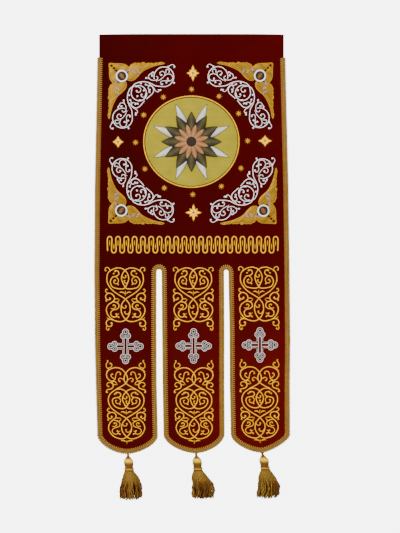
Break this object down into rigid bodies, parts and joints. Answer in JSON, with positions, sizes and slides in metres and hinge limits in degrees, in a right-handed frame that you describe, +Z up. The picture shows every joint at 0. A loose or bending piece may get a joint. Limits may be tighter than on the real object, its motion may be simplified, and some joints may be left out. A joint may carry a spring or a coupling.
{
  "type": "church banner",
  "caption": "Hanging velvet church banner with a pole sleeve, rounded tails, gold edge braid, raised gold and silver embroidery and tassels.",
  "frame": {"origin": "middle of the sleeve's top edge, where the banner hangs", "axes": "+Z up, +X to the viewer's right of the front, front facing -Y"},
  "size_m": [0.5079, 0.0505, 1.2104],
  "materials": {
    "velvet": "dark red cotton velvet, matt with a soft sheen",
    "gold_braid": "woven metallised galloon with picot edges",
    "gold_cord": "couched satin gold thread",
    "gold_fill": "flat-stitched gold thread",
    "gold_field": "fine-stitched pale gold thread",
    "silver_cord": "couched silver thread",
    "olive_thread": "stitched matt thread",
    "tan_thread": "stitched satin thread",
    "dark_thread": "stitched matt thread",
    "tassel_gold": "satin bullion thread"
  },
  "bodies": {
    "root": {"banner_cloth": "velvet", "corner_roundel_lower_left": "silver_cord", "corner_roundel_lower_right": "silver_cord", "corner_roundel_upper_left": "silver_cord", "corner_roundel_upper_right": "silver_cord", "corner_wings_lower_left": "gold_fill", "corner_wings_lower_right": "gold_fill", "corner_wings_upper_left": "gold_fill", "corner_wings_upper_right": "gold_fill", "cross_left": "silver_cord", "cross_middle": "silver_cord", "cross_right": "silver_cord", "edge_braid": "gold_braid", "frieze": "gold_cord", "lower_panel_left": "gold_cord", "lower_panel_middle": "gold_cord", "lower_panel_right": "gold_cord", "medallion_button": "dark_thread", "medallion_field": "gold_field", "medallion_leaves": "olive_thread", "medallion_petals": "tan_thread", "medallion_rays": "silver_cord", "medallion_rim": "gold_cord", "ornament_bottom": "gold_cord", "ornament_left": "gold_cord", "ornament_right": "gold_cord", "ornament_top": "gold_cord", "pole_sleeve": "velvet", "silver_scroll_lower_left": "silver_cord", "silver_scroll_lower_right": "silver_cord", "silver_scroll_upper_left": "silver_cord", "silver_scroll_upper_right": "silver_cord", "star_01": "gold_cord", "star_02": "gold_cord", "star_03": "gold_cord", "star_04": "gold_cord", "star_05": "gold_cord", "star_06": "gold_cord", "star_07": "gold_cord", "star_08": "gold_cord", "star_09": "gold_cord", "star_10": "gold_cord", "star_11": "gold_cord", "star_12": "gold_cord", "tassel_left": "tassel_gold", "tassel_middle": "tassel_gold", "tassel_right": "tassel_gold", "upper_panel_left": "gold_cord", "upper_panel_middle": "gold_cord", "upper_panel_right": "gold_cord"}
  },
  "joints": []
}
